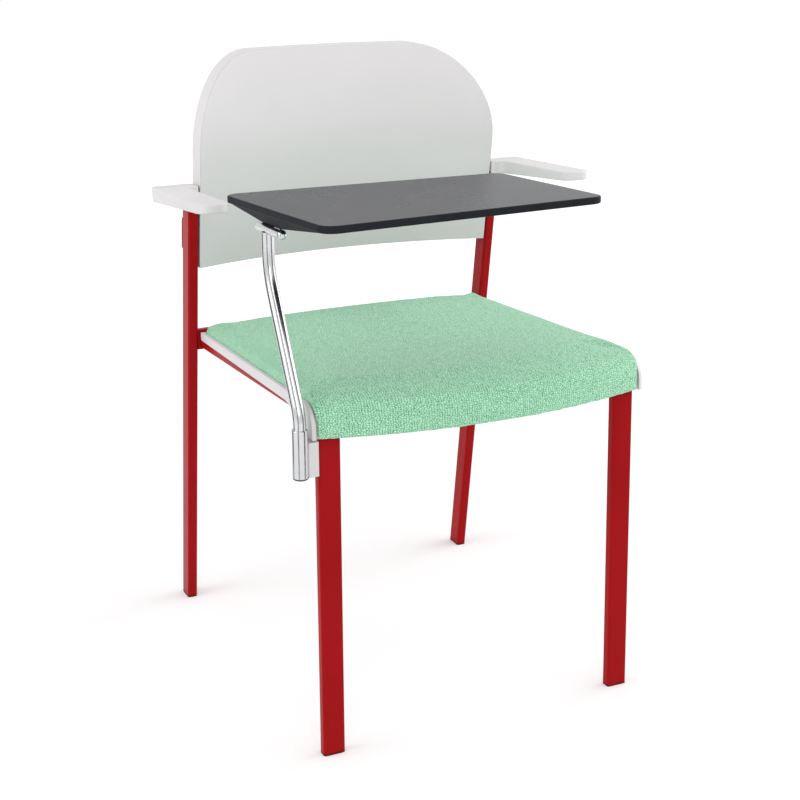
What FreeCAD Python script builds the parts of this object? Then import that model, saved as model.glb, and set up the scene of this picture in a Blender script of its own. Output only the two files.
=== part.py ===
"""Tablet arm chair: steel tube frame, upholstered seat, moulded back and a swivelling, folding tablet.

Millimetres. +Z is up, the chair faces -Y, and the origin is on the floor under the middle of its box.
Left and right are the sitter's: the tablet's arm stands on the right, at -X.
"""
import FreeCAD
import Part
import Sketcher
import math
import os

from FreeCAD import Placement, Rotation, Vector

X_AXIS = Vector(1, 0, 0)
Y_AXIS = Vector(0, 1, 0)
Z_AXIS = Vector(0, 0, 1)
SIDES = (("right", -1), ("left", 1))

# Driving dimensions: name and value, lengths in mm and angles in degrees
SIZES = (
    ("tube_wide", 30), ("tube_thin", 15), ("tube_wall", 1.5), ("tube_corner", 3.5),
    ("fit_gap", 0.2), ("touch_gap", 0.05), ("glide_sole", 3), ("glide_plug", 18),
    ("front_foot_x", 215.3), ("front_foot_y", -209.05), ("front_lean_in", 0.527), ("front_lean_back", 1.627),
    ("rear_foot_x", 238.5), ("rear_foot_y", 322.55), ("rear_lean", 8.116), ("rear_top", 655.5),
    ("seat_slope", 3.29), ("seat_rear_y", 239.35), ("seat_rear_z", 425.8), ("rail_bend", 30), ("rail_end", 5.4),
    ("cross_rear_y", 13.5), ("cross_rear_z", 13.5), ("cross_rear_half", 231),
    ("cross_front_y", -330), ("cross_front_half", 196.05),
    ("seat_screw_rear", -110), ("seat_screw_front", -375),
    ("pan_half_rear", 229), ("pan_flare", 0.9), ("pan_rear", -2), ("pan_front", -491), ("pan_front_side", -450),
    ("pan_lip", 1.5), ("pan_rim", 26.4), ("pan_rim_round", 2), ("pan_floor", 21.4), ("pan_plate", 6.3),
    ("pan_wall", 2.3), ("pan_cheek", 5), ("pan_apron", -17), ("pan_round", 30),
    ("skirt_rear", 14.8), ("skirt_front", 11.8), ("skirt_front_y", -368), ("skirt_round", 70),
    ("apron_y", -424), ("apron_round", 40), ("apron_end_y", -440),
    ("pad_gap", 0.3), ("pad_rear", -5.3), ("pad_top", 39), ("pad_crown", 3.5), ("pad_front_wrap", 6),
    ("pad_round", 34), ("pad_rear_round", 8), ("pad_edge", 8), ("pad_corner", 10),
    ("back_half", 229), ("back_low", 550), ("back_top", 847), ("back_corner_x", 108.5), ("back_corner_z", 134),
    ("back_curve", 716), ("back_bend_z", 702), ("back_bend", 195), ("back_turn", 46), ("back_rim", 35),
    ("back_skin", 5), ("back_wall", 5), ("back_core", 60), ("back_depth", 400),
    ("boss_radius", 8), ("boss_depth", 19), ("boss_skin", 4), ("back_screw_long", 17),
    ("plate_thick", 4), ("plate_inner", 52), ("plate_outer", 7), ("plate_high", 50), ("plate_z", 597),
    ("plate_corner", 5), ("plate_screw_x", 34), ("plate_screw_z", 14),
    ("arm_slope", 3.63), ("arm_rear_y", 245.75), ("arm_rear_z", 670), ("arm_thick", 21), ("arm_end", 12),
    ("arm_edge", 1.8), ("arm_outer", 291), ("arm_inner", 249), ("arm_neck", 231.6), ("arm_neck_long", 36),
    ("arm_long", 223), ("arm_rear_corner", 8), ("arm_corner", 18), ("arm_inside", 9), ("arm_neck_corner", 5),
    ("recess_deep", 15), ("spigot_long", 26), ("spigot_root", 1),
    ("arm_screw_z", 640), ("arm_screw_long", 14),
    ("socket_x", -250), ("socket_y", -204.65), ("socket_low", 388.5), ("socket_top", 450),
    ("socket_radius", 10), ("socket_bore", 8.08), ("socket_edge", 0.8),
    ("slot_low", 428), ("slot_high", 8), ("slot_start", 37), ("slot_angle", 129),
    ("cap_flange", 2.5), ("cap_edge", 2), ("cap_plug", 5.5),
    ("pin_angle", 56.5), ("pin_radius", 2.5), ("pin_root", 4), ("pin_reach", 9.5), ("press_gap", 0.02),
    ("bracket_face", -226.85), ("bracket_front", -208.65), ("bracket_rear", -189.65), ("bracket_low", 387),
    ("bracket_high", 45), ("bracket_edge", 1.5), ("bracket_corner", 4),
    ("bolt_seat", -235.5), ("bolt_long", 18), ("bolt_y", -197.65), ("bolt_z", 398), ("bolt_step", 23),
    ("stem_radius", 8), ("stem_wall", 2), ("stem_low", 397), ("stem_knee_z", 466), ("stem_shoulder_z", 625),
    ("stem_offset", 93), ("stem_knee", 50), ("stem_shoulder", 110), ("stem_clear", 4),
    ("plug_flange", 2.7), ("plug_long", 12),
    ("hinge_y", -126.65), ("hinge_z", 678), ("tablet_slope", 3.14), ("hinge_gap", 0.4), ("hinge_edge", 0.6),
    ("barrel_radius", 6), ("barrel_rear", 43), ("barrel_front", -10), ("barrel_bore", 4.06),
    ("hinge_pin_radius", 4), ("pin_head", 4), ("pin_dome", 3), ("knuckle_front", -28), ("hinge_cap_long", 11),
    ("cap_dome", 5.6), ("lug_low", -1), ("lug_high", 10), ("lug_rise", 5), ("lug_corner", 1),
    ("housing_low", 6.6), ("housing_wall", 2.5), ("foot_corner", 6), ("rim_corner", 14), ("post_radius", 4.5),
    ("post_root", 1), ("board_low", 27.4), ("board_thick", 9), ("board_corner", 18), ("board_edge", 2),
    ("tablet_bite", 5), ("screw_radius", 2.5), ("screw_head", 5), ("screw_head_high", 3), ("screw_gap", 0.1),
    ("drill_lead", 2),
)

doc = FreeCAD.newDocument("tablet_arm_chair")
sheet = doc.addObject("Spreadsheet::Sheet", "Sizes")
for row, (alias, number) in enumerate(SIZES, start=1):
    sheet.set("A%d" % row, alias)
    sheet.set("B%d" % row, str(number))
    sheet.setAlias("B%d" % row, alias)
doc.recompute()


def size(alias):
    """A driving dimension read from the sheet."""
    return float(sheet.get(alias))


def lean(alias):
    """The slope, as run over rise, of an angle in the sheet."""
    return math.tan(math.radians(size(alias)))


# Frames that several pieces share

def seat_place():
    """Frame of the seat: its rear edge on the rails' underside, sloping up to the front."""
    return Placement(Vector(0, size("seat_rear_y"), size("seat_rear_z")), Rotation(X_AXIS, -size("seat_slope")))


def plate_place(side):
    """Frame on the rear face of a rear leg, at the middle of its back plate."""
    rear = size("rear_foot_y") + size("tube_wide") / 2 - lean("rear_lean") * size("plate_z")
    base = Vector(side * size("rear_foot_x"), rear, size("plate_z"))
    return Placement(base, Rotation(X_AXIS, size("rear_lean")))


def tablet_place():
    """Frame on the tablet's hinge axis, with its Y axis along the hinge, towards the back."""
    base = Vector(size("socket_x"), size("hinge_y"), size("hinge_z"))
    return Placement(base, Rotation(X_AXIS, -size("tablet_slope")))


def along_hinge(y):
    """Place on the hinge axis with its Z axis along it, towards the front."""
    return tablet_place() * Placement(Vector(0, y, 0), Rotation(X_AXIS, 90))


# Helpers for bodies, sketches and outlines

def new_body(label, place=None):
    body = doc.addObject("PartDesign::Body", label)
    body.Label = label
    if place:
        body.Placement = place
    return body


def new_sketch(body, role, name, offset=Vector(), turn=Rotation()):
    """Sketch on one of the body's own origin planes, moved and turned in that plane's axes."""
    plane = [item for item in body.Origin.OriginFeatures if item.Role == role][0]
    sketch = body.newObject("Sketcher::SketchObject", name)
    sketch.AttachmentSupport = [(plane, "")]
    sketch.MapMode = "FlatFace"
    sketch.AttachmentOffset = Placement(offset, turn)
    return sketch


def rounded(corners, closed=True):
    """Lines and tangent arcs through (x, y, radius) corners."""
    points = [Vector(x, y, 0) for x, y, radius in corners]
    count = len(points)
    stops = []
    for index, corner in enumerate(corners):
        point = points[index]
        open_end = not closed and index in (0, count - 1)
        if corner[2] == 0 or open_end:
            stops.append((point, None, point))
            continue
        before = (points[index - 1] - point).normalize()
        after = (points[(index + 1) % count] - point).normalize()
        half = before.getAngle(after) / 2
        reach = corner[2] / math.tan(half)
        centre = point + (before + after).normalize() * (corner[2] / math.sin(half))
        middle = centre + (point - centre).normalize() * corner[2]
        stops.append((point + before * reach, middle, point + after * reach))
    edges = []
    for index, (start, middle, end) in enumerate(stops):
        if middle:
            edges.append(Part.Arc(start, middle, end))
        if closed or index < count - 1:
            edges.append(Part.LineSegment(end, stops[(index + 1) % count][0]))
    return edges


def box_corners(low_x, low_y, high_x, high_y, radius=0):
    return ((low_x, low_y, radius), (high_x, low_y, radius), (high_x, high_y, radius), (low_x, high_y, radius))


def pad(body, sketch, length, name="Pad"):
    """Pad of a sketch, its length bound to an expression."""
    feature = body.newObject("PartDesign::Pad", name)
    feature.Profile = sketch
    feature.setExpression("Length", length)
    return feature


def sheared_pad(body, sketch, length, direction, name="Pad"):
    """Pad along a leaning direction, its ends staying parallel to the sketch."""
    feature = pad(body, sketch, length, name)
    feature.UseCustomVector = True
    feature.Direction = direction
    feature.AlongSketchNormal = True
    return feature


def pocket(body, sketch, reverse=False, midplane=False):
    """Pocket through all of a body, which has to take material away."""
    feature = body.newObject("PartDesign::Pocket", "Cut")
    feature.Profile = sketch
    feature.Type = "ThroughAll"
    feature.Midplane = midplane
    feature.Reversed = reverse
    doc.recompute()
    if not feature.Shape.Volume < feature.BaseFeature.Shape.Volume - 1:
        raise RuntimeError("%s takes nothing from %s" % (sketch.Label, body.Label))
    return feature


def loft(body, sketches, kind="PartDesign::AdditiveLoft"):
    feature = body.newObject(kind, "Loft")
    feature.Profile = sketches[0]
    feature.Sections = sketches[1:]
    return feature


def pipe(body, profile, spine, mode="Standard"):
    feature = body.newObject("PartDesign::AdditivePipe", "Pipe")
    feature.Profile = profile
    feature.Spine = spine
    feature.Mode = mode
    return feature


def round_edges(body, base, radius, wanted, name="Round"):
    """Fillet of the edges of a feature that a test picks, its radius bound to an expression."""
    doc.recompute()
    names = ["Edge%d" % number for number, edge in enumerate(base.Shape.Edges, start=1) if wanted(edge)]
    feature = body.newObject("PartDesign::Fillet", name)
    feature.Base = (base, names)
    feature.setExpression("Radius", radius)
    return feature


def tube_section(sketch, across, along):
    """Hollow tube section about the sketch's origin, with its sizes held by bound constraints."""
    wall = size("tube_wall")
    corner = size("tube_corner")
    for inset, tag in ((0, "outer"), (wall, "inner")):
        half_x = size(across) / 2 - inset
        half_y = size(along) / 2 - inset
        first = sketch.GeometryCount
        sketch.addGeometry(rounded(box_corners(-half_x, -half_y, half_x, half_y, corner - inset)))
        for index in range(8):
            following = first + (index + 1) % 8
            sketch.addConstraint(Sketcher.Constraint("Tangent", first + index, 2, following, 1))
        for index, kind in ((1, "Horizontal"), (5, "Horizontal"), (3, "Vertical"), (7, "Vertical")):
            sketch.addConstraint(Sketcher.Constraint(kind, first + index))
        for index in (2, 4, 6):
            sketch.addConstraint(Sketcher.Constraint("Equal", first, first + index))
        sketch.addConstraint(Sketcher.Constraint("Symmetric", first + 1, 1, first + 5, 1, -1, 1))
        sizes = (("Radius", (first, corner - inset), "corner", "Sizes.tube_corner"),
                 ("DistanceX", (first + 7, 1, first + 3, 1, 2 * half_x), "wide", "Sizes." + across),
                 ("DistanceY", (first + 1, 1, first + 5, 1, 2 * half_y), "high", "Sizes." + along))
        for kind, values, word, expression in sizes:
            constraint = sketch.addConstraint(Sketcher.Constraint(kind, *values))
            sketch.renameConstraint(constraint, tag + word)
            if tag == "inner":
                expression += " - Sizes.tube_wall" if word == "corner" else " - 2 * Sizes.tube_wall"
            sketch.setExpression("Constraints." + tag + word, expression)


def cylinder(label, radius, height, place):
    """Part cylinder along the place's Z axis, with radius and height bound to expressions."""
    shape = doc.addObject("Part::Cylinder", label)
    shape.setExpression("Radius", radius)
    shape.setExpression("Height", height)
    shape.Placement = place
    return shape


def combine(kind, label, base, tools):
    """Boolean of a base with one or several tools."""
    tool = tools[0]
    if len(tools) > 1:
        tool = doc.addObject("Part::MultiFuse", label + "_tools")
        tool.Shapes = tools
    result = doc.addObject(kind, label)
    result.Base = base
    result.Tool = tool
    result.Label = label
    return result


def screw_group(label, places, shank_long, head_scale=1.0):
    """Round-headed socket screws as separate solids; each place's Z axis points out of the head."""
    shank = size("screw_radius") * head_scale
    head = size("screw_head") * head_scale
    high = size("screw_head_high") * head_scale
    rim = high / 3
    crown = head * 0.72
    profile = [Part.LineSegment(Vector(0, 0, -shank_long), Vector(shank, 0, -shank_long)),
               Part.LineSegment(Vector(shank, 0, -shank_long), Vector(shank, 0, 0)),
               Part.LineSegment(Vector(shank, 0, 0), Vector(head, 0, 0)),
               Part.LineSegment(Vector(head, 0, 0), Vector(head, 0, rim)),
               Part.Arc(Vector(head, 0, rim), Vector(head * 0.9, 0, high * 0.82), Vector(crown, 0, high)),
               Part.LineSegment(Vector(crown, 0, high), Vector(0, 0, high)),
               Part.LineSegment(Vector(0, 0, high), Vector(0, 0, -shank_long))]
    screw = Part.Face(Part.Wire([edge.toShape() for edge in profile])).revolve(Vector(), Z_AXIS, 360)
    hexagon = [Vector(shank * math.cos(math.radians(60 * turn)), shank * math.sin(math.radians(60 * turn)), rim)
               for turn in range(7)]
    screw = screw.cut(Part.Face(Part.makePolygon(hexagon)).extrude(Vector(0, 0, high)))
    group = doc.addObject("Part::Feature", label)
    copies = []
    for place in places:
        copy = screw.copy()
        copy.Placement = place
        copies.append(copy)
    group.Shape = Part.makeCompound(copies)
    return group


# Places of the fasteners

def seat_screw_places():
    """Seat screws, head down under each side rail."""
    rail_x = size("front_foot_x") - lean("front_lean_in") * size("seat_rear_z")
    down = Rotation(X_AXIS, 180)
    return {side: [seat_place() * Placement(Vector(side * rail_x, size(spot), -size("fit_gap")), down)
                   for spot in ("seat_screw_rear", "seat_screw_front")] for name, side in SIDES}


def back_screw_places(side):
    """Back screws, head to the rear on each back plate."""
    out = Rotation(X_AXIS, -90)
    x = -side * size("plate_screw_x")
    return [plate_place(side) * Placement(Vector(x, size("plate_thick"), step * size("plate_screw_z")), out)
            for step in (-1, 1)]


def arm_screw_place(side):
    """Armrest screw, head to the rear on the rear leg's face."""
    rise = (size("arm_screw_z") - size("plate_z")) / math.cos(math.radians(size("rear_lean")))
    return plate_place(side) * Placement(Vector(0, 0, rise), Rotation(X_AXIS, -90))


def bracket_bolt_places():
    """Bracket bolts, head outwards in the bracket's seat for the sleeve."""
    return [Placement(Vector(size("bolt_seat"), size("bolt_y"), size("bolt_z") + step * size("bolt_step")),
                      Rotation(Y_AXIS, -90)) for step in (0, 1)]


def drill_tools(label, places, reach, radius="Sizes.screw_radius + Sizes.screw_gap"):
    """Cylinders that drill along the screws' axes, from just outside each head's seat."""
    tools = []
    for number, place in enumerate(places):
        start = place * Placement(Vector(0, 0, -reach), Rotation())
        tools.append(cylinder("%s_drill_%d" % (label, number), radius, "%g + Sizes.drill_lead" % reach, start))
    return tools


# Frame

def front_leg(name, side):
    """Tube from the foot up to the seat, bent back to run under it as the side rail."""
    body = new_body("front_leg_%s_tube" % name, Placement(Vector(side * size("front_foot_x"),
                                                                 size("front_foot_y"), 0), Rotation()))
    back = lean("front_lean_back")
    slope = math.radians(size("seat_slope"))
    rise = size("tube_thin") / 2
    rear_y = size("seat_rear_y") - size("front_foot_y") + rise * math.sin(slope)
    rear_z = size("seat_rear_z") + rise * math.cos(slope)
    run = (back * rear_z - rear_y) / (math.cos(slope) + back * math.sin(slope))
    corner = (rear_y + run * math.cos(slope), rear_z - run * math.sin(slope))
    end = (rear_y + size("rail_end") * math.cos(slope), rear_z - size("rail_end") * math.sin(slope))
    sole = size("glide_sole")
    path = new_sketch(body, "YZ_Plane", "Path", turn=Rotation(X_AXIS, -side * size("front_lean_in")))
    path.addGeometry(rounded(((back * sole, sole, 0), (corner[0], corner[1], size("rail_bend")),
                              (end[0], end[1], 0)), closed=False))
    section = new_sketch(body, "XY_Plane", "Section",
                         Vector(-side * lean("front_lean_in") * sole, back * sole, sole))
    tube_section(section, "tube_wide", "tube_thin")
    pipe(body, section, path)
    places = seat_screw_places()[side]
    tools = drill_tools("front_leg_%s" % name, places, size("tube_thin") + size("drill_lead"))
    if side < 0:
        tools += drill_tools("bracket", bracket_bolt_places(), size("bolt_long"))
    return combine("Part::Cut", "front_leg_%s" % name, body, tools)


def rear_direction():
    return Vector(0, -lean("rear_lean"), 1)


def rear_leg(name, side):
    """Straight tube that leans forward from the foot to the armrest."""
    sole = size("glide_sole")
    body = new_body("rear_leg_%s_tube" % name, Placement(Vector(side * size("rear_foot_x"),
                                                                size("rear_foot_y"), 0), Rotation()))
    section = new_sketch(body, "XY_Plane", "Section", Vector(0, -lean("rear_lean") * sole, sole))
    tube_section(section, "tube_thin", "tube_wide")
    sheared_pad(body, section, "Sizes.rear_top - Sizes.glide_sole", rear_direction())
    tools = drill_tools("rear_leg_%s" % name, [arm_screw_place(side)], size("tube_wall") + size("fit_gap"))
    return combine("Part::Cut", "rear_leg_%s" % name, body, tools)


def cross_rail(name, centre_y, centre_z, half, across, along):
    """Straight tube from side to side, in the seat's frame."""
    body = new_body(name, seat_place())
    section = new_sketch(body, "YZ_Plane", "Section", Vector(size(centre_y), centre_z, -size(half)))
    tube_section(section, across, along)
    pad(body, section, "2 * Sizes." + half)
    return body


def glide(name, foot, direction, across, along):
    """Plastic foot: a sole as large as the tube and a plug up inside it."""
    body = new_body(name, Placement(foot, Rotation()))
    half_x = size(across) / 2
    half_y = size(along) / 2
    sole = new_sketch(body, "XY_Plane", "Sole")
    sole.addGeometry(rounded(box_corners(-half_x, -half_y, half_x, half_y, size("tube_corner"))))
    sheared_pad(body, sole, "Sizes.glide_sole", direction, "SolePad")
    inset = size("tube_wall") + size("fit_gap")
    rise = size("glide_sole")
    plug = new_sketch(body, "XY_Plane", "Plug", direction * rise)
    plug.addGeometry(rounded(box_corners(inset - half_x, inset - half_y, half_x - inset, half_y - inset,
                                         size("tube_corner") - inset)))
    sheared_pad(body, plug, "Sizes.glide_plug", direction, "PlugPad")
    return body


# Seat

def seat_sections(body, name, half_inset, profile):
    """Three sketches of one side profile: at each side plane, which flares to the front, and in the middle."""
    half = size("pan_half_rear") - half_inset
    sketches = []
    for word, side in (("Right", -1), ("Middle", 0), ("Left", 1)):
        sketch = new_sketch(body, "YZ_Plane", name + word, Vector(0, 0, side * half),
                            Rotation(Y_AXIS, side * size("pan_flare")))
        front = size("pan_front_side") if side else size("pan_front")
        sketch.addGeometry(rounded(profile(front, side)))
        sketches.append(sketch)
    return sketches


def seat_pan():
    """Moulded tray: waterfall front, cheeks beside the pad, hollow below over the side rails."""
    body = new_body("seat_pan_form", seat_place())
    rear = size("pan_rear")
    wall = size("pan_wall")
    apron = size("pan_apron")
    lip = size("pan_lip")
    beyond = 20
    floor = size("pan_floor")
    under = floor - size("pan_plate")
    wrap = size("pad_front_wrap")
    radius = size("pan_round")

    def outer(front, side):
        rim = size("pan_rim")
        return ((rear, apron, 0), (rear, rim, size("pan_rim_round")), (front + lip, rim, radius),
                (front + lip, apron, 0))

    def tray(front, side):
        return ((rear - wall, floor, 0), (rear - wall, floor + beyond, 0), (front - beyond, floor + beyond, 0),
                (front - beyond, apron - beyond, 0), (front + wrap, apron - beyond, 0),
                (front + wrap, floor, radius - wrap))

    def hollow(front, side):
        inner = front + wrap + wall
        return ((rear - wall, apron - beyond, 0), (rear - wall, under, size("pan_rim_round")),
                (inner, under, radius - wrap - wall), (inner, apron - beyond, 0))

    loft(body, seat_sections(body, "Outer", 0, outer))
    loft(body, seat_sections(body, "Tray", size("pan_cheek"), tray), "PartDesign::SubtractiveLoft")
    loft(body, seat_sections(body, "Hollow", wall, hollow), "PartDesign::SubtractiveLoft")
    skirt = new_sketch(body, "YZ_Plane", "SkirtLine")
    inside = rear - 2 * wall
    apron_end = size("apron_end_y")
    skirt.addGeometry(rounded(((beyond, apron - beyond, 0), (beyond, under, 0), (inside, under, 0),
                               (inside, size("skirt_rear"), 0),
                               (size("skirt_front_y"), size("skirt_front"), size("skirt_round")),
                               (size("apron_y"), apron, size("apron_round")),
                               (apron_end, apron - 1, 0), (apron_end, apron - beyond, 0))))
    pocket(body, skirt, midplane=True)
    tools = []
    for side, places in seat_screw_places().items():
        tools += drill_tools("pan_%d" % (side + 1), places, floor + size("drill_lead"))
    return combine("Part::Cut", "seat_pan", body, tools)


def seat_pad():
    """Upholstered pad between the pan's cheeks: crowned top, waterfall front, drawn-in sides."""
    body = new_body("seat_pad", seat_place())
    gap = size("pad_gap")
    rear = size("pad_rear")
    low = size("pan_floor") + gap
    wrap = size("pad_front_wrap") - gap
    end = size("pan_apron") + gap

    def profile(front, side):
        top = size("pad_top") + (0 if side else size("pad_crown"))
        return ((front + wrap, low, size("pan_round") - size("pad_front_wrap")), (front + wrap, end, 0),
                (front, end, 0), (front, top, size("pad_round")), (rear, top, size("pad_rear_round")),
                (rear, low, 0))

    inset = size("pan_cheek") + gap
    loft(body, seat_sections(body, "Pad", inset, profile))
    for name, side in SIDES:
        round_pad_side(body, name, side, size("pan_half_rear") - inset)
        round_pad_corner(body, name, side, size("pan_half_rear") - inset)
    return body


def round_pad_side(body, name, side, half):
    """Rounds the long upper edge at one side of the pad, along its flare."""
    radius = size("pad_edge")
    top = size("pad_top")
    beyond = 8
    sketch = new_sketch(body, "XZ_Plane", "Edge" + name, Vector(side * half, 0, -beyond),
                        Rotation(Y_AXIS, side * size("pan_flare")))
    low = Vector(0, top - radius, 0)
    high = Vector(-side * radius, top, 0)
    middle = Vector(-side * radius * (1 - math.sqrt(0.5)), top - radius * (1 - math.sqrt(0.5)), 0)
    outside = [high + Vector(0, beyond, 0), Vector(side * beyond, top + beyond, 0),
               low + Vector(side * beyond, 0, 0)]
    lines = [Part.LineSegment(first, last) for first, last in zip([high] + outside, outside + [low])]
    sketch.addGeometry([Part.Arc(low, middle, high)] + lines)
    pocket(body, sketch, reverse=True)


def round_pad_corner(body, name, side, half):
    """Rounds the upright corner where the pad's side meets its bowed front."""
    radius = size("pad_corner")
    flare = math.radians(size("pan_flare"))
    front = size("pan_front_side")
    corner = Vector(side * (half - front * math.tan(flare)), front, 0)
    bow = math.atan(2 * (front - size("pan_front")) / corner.x * side)
    along_side = Vector(-side * math.sin(flare), math.cos(flare), 0)
    along_front = Vector(-side * math.cos(bow), -math.sin(bow), 0)
    half_angle = along_side.getAngle(along_front) / 2
    reach = radius / math.tan(half_angle)
    centre = corner + (along_side + along_front).normalize() * (radius / math.sin(half_angle))
    first = corner + along_side * reach
    last = corner + along_front * reach
    middle = centre + (corner - centre).normalize() * radius
    beyond = 8
    outside = [last + Vector(0, -beyond, 0), corner + Vector(side * beyond, -beyond, 0),
               first + Vector(side * beyond, 0, 0)]
    above = size("pad_top") + size("pad_crown") + beyond
    sketch = new_sketch(body, "XY_Plane", "Corner" + name, Vector(0, 0, above))
    lines = [Part.LineSegment(one, two) for one, two in zip([last] + outside, outside + [first])]
    sketch.addGeometry([Part.Arc(first, middle, last)] + lines)
    pocket(body, sketch)


# Back

def back_front_y(z):
    """Y of the back's front face at its side edge: along the rear legs, up to where it bends."""
    return size("rear_foot_y") - size("tube_wide") / 2 - lean("rear_lean") * z


def back_slab(label, front, rear):
    """Curved slab that follows the back's face, from one depth behind it to another."""
    body = new_body(label)
    below = 20
    beside = 15
    start = size("back_low") - below
    angle = math.radians(size("rear_lean"))
    bend = size("back_bend")
    bend_z = size("back_bend_z")
    bend_y = back_front_y(bend_z)
    centre = Vector(bend_y + bend * math.cos(angle), bend_z + bend * math.sin(angle), 0)
    turned = math.radians(size("back_turn"))
    path = new_sketch(body, "YZ_Plane", "Path")

    def on_bend(turn):
        return centre + Vector(-math.cos(turn - angle), math.sin(turn - angle), 0) * bend
    path.addGeometry([Part.LineSegment(Vector(back_front_y(start), start, 0), on_bend(0)),
                      Part.Arc(on_bend(0), on_bend(turned / 2), on_bend(turned))])
    section = new_sketch(body, "XY_Plane", "Section", Vector(0, 0, start))
    half = size("back_half") + beside
    curve = size("back_curve")
    side_y = back_front_y(start) + (size("back_half") ** 2 - half ** 2) / (2 * curve)
    sag = half ** 2 / (2 * curve)
    corners = [Vector(x * half, side_y + depth, 0) for depth in (front, rear) for x in (-1, 1)]
    middles = [Vector(0, side_y + sag + depth, 0) for depth in (front, rear)]
    section.addGeometry([Part.Arc(corners[0], middles[0], corners[1]),
                         Part.LineSegment(corners[1], corners[3]),
                         Part.Arc(corners[3], middles[1], corners[2]),
                         Part.LineSegment(corners[2], corners[0])])
    pipe(body, section, path, mode="Fixed")
    return body


def back_outline(label, inset):
    """Prism of the back's front view: straight sides and foot, elliptical shoulders."""
    body = new_body(label)
    half = size("back_half") - inset
    low = size("back_low") + inset
    top = size("back_top") - inset
    wide = size("back_corner_x") - inset
    high = size("back_corner_z") - inset
    outline = new_sketch(body, "XZ_Plane", "Outline", Vector(0, 0, -size("back_depth")))
    edges = [Part.LineSegment(Vector(-half, low, 0), Vector(half, low, 0)),
             Part.LineSegment(Vector(half, low, 0), Vector(half, top - high, 0)),
             Part.LineSegment(Vector(half - wide, top, 0), Vector(wide - half, top, 0)),
             Part.LineSegment(Vector(-half, top - high, 0), Vector(-half, low, 0))]
    for side, start in ((1, -math.pi / 2), (-1, 0)):
        centre = Vector(side * (half - wide), top - high, 0)
        ellipse = Part.Ellipse(centre + Vector(0, high, 0), centre + Vector(-wide, 0, 0), centre)
        edges.append(Part.ArcOfEllipse(ellipse, start, start + math.pi / 2))
    outline.addGeometry(edges)
    pad(body, outline, "Sizes.back_depth", "Depth")
    return body


def plate_notch(name, side):
    """Room in the shell's rim for a back plate."""
    body = new_body("plate_notch_%s" % name, plate_place(side))
    half = size("plate_high") / 2 + size("fit_gap")
    ends = sorted((-side * size("plate_inner"), side * size("plate_outer")))
    outline = new_sketch(body, "XZ_Plane", "Outline", Vector(0, 0, size("fit_gap")))
    outline.addGeometry(rounded(box_corners(ends[0], -half, ends[1], half)))
    feature = pad(body, outline, "2 * Sizes.plate_thick")
    feature.Reversed = True
    return body


def back_shell():
    """Moulded shell: a curved skin, a rim turned back all round, and bosses for the back screws."""
    form = combine("Part::Common", "back_form", back_slab("back_block", 0, size("back_rim")),
                   [back_outline("back_edge_prism", 0)])
    core = combine("Part::Common", "back_core",
                   back_slab("back_core_block", size("back_skin"), size("back_core")),
                   [back_outline("back_core_prism", size("back_wall"))])
    shell = combine("Part::Cut", "back_skin_and_rim", form, [core])
    bosses = []
    drills = []
    notches = []
    for name, side in SIDES:
        places = [place * Placement(Vector(0, 0, -size("plate_thick")), Rotation())
                  for place in back_screw_places(side)]
        for number, place in enumerate(places):
            start = place * Placement(Vector(0, 0, -size("boss_depth")), Rotation())
            bosses.append(cylinder("boss_%s_%d" % (name, number), "Sizes.boss_radius",
                                   "Sizes.boss_depth - Sizes.fit_gap", start))
        drills += drill_tools("boss_%s" % name, places, size("boss_depth") - size("boss_skin"))
        notches.append(plate_notch(name, side))
    doc.recompute()
    with_bosses = combine("Part::Fuse", "back_with_bosses", shell, bosses)
    return combine("Part::Cut", "back_shell", with_bosses, drills + notches)


def back_plate(name, side):
    """Steel plate welded on the rear face of a rear leg, reaching in behind the shell."""
    body = new_body("back_plate_%s_blank" % name, plate_place(side))
    half = size("plate_high") / 2
    ends = sorted((-side * size("plate_inner"), side * size("plate_outer")))
    outline = new_sketch(body, "XZ_Plane", "Outline", Vector(0, 0, -size("plate_thick")))
    outline.addGeometry(rounded(box_corners(ends[0], -half, ends[1], half, size("plate_corner"))))
    pad(body, outline, "Sizes.plate_thick")
    tools = drill_tools("back_plate_%s" % name, back_screw_places(side),
                        size("plate_thick") + size("drill_lead"))
    return combine("Part::Cut", "back_plate_%s" % name, body, tools)


# Armrests

def armrest_blank(name, side):
    """L-shaped strip: a neck over the rear leg's end and an arm outside it that thins to the front."""
    place = Placement(Vector(0, size("arm_rear_y"), size("arm_rear_z")), Rotation(X_AXIS, -size("arm_slope")))
    body = new_body("armrest_%s_blank" % name, place)
    outer = side * size("arm_outer")
    inner = side * size("arm_inner")
    neck = side * size("arm_neck")
    long = size("arm_long")
    thick = size("arm_thick")
    taper = (thick - size("arm_end")) / long

    def under(y):
        return -thick - taper * y
    outline = new_sketch(body, "XY_Plane", "Outline", Vector(0, 0, -thick - size("fit_gap")))
    outline.addGeometry(rounded(((neck, 0, size("arm_neck_corner")), (outer, 0, size("arm_rear_corner")),
                                 (outer, -long, size("arm_corner")), (inner, -long, size("arm_corner")),
                                 (inner, -size("arm_neck_long"), size("arm_inside")),
                                 (neck, -size("arm_neck_long"), size("arm_neck_corner")))))
    pad(body, outline, "Sizes.arm_thick + Sizes.fit_gap")
    rear = thick
    front = -long - thick
    underside = new_sketch(body, "YZ_Plane", "Underside")
    underside.addGeometry(rounded(((rear, under(rear), 0), (front, under(front), 0), (front, -2 * thick, 0),
                                   (rear, -2 * thick, 0))))
    block = pocket(body, underside, midplane=True)

    def on_rim(edge):
        middle = edge.CenterOfMass
        return min(abs(middle.z), abs(middle.z - under(middle.y))) < size("fit_gap")
    round_edges(body, block, "Sizes.arm_edge", on_rim)
    return body


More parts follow.
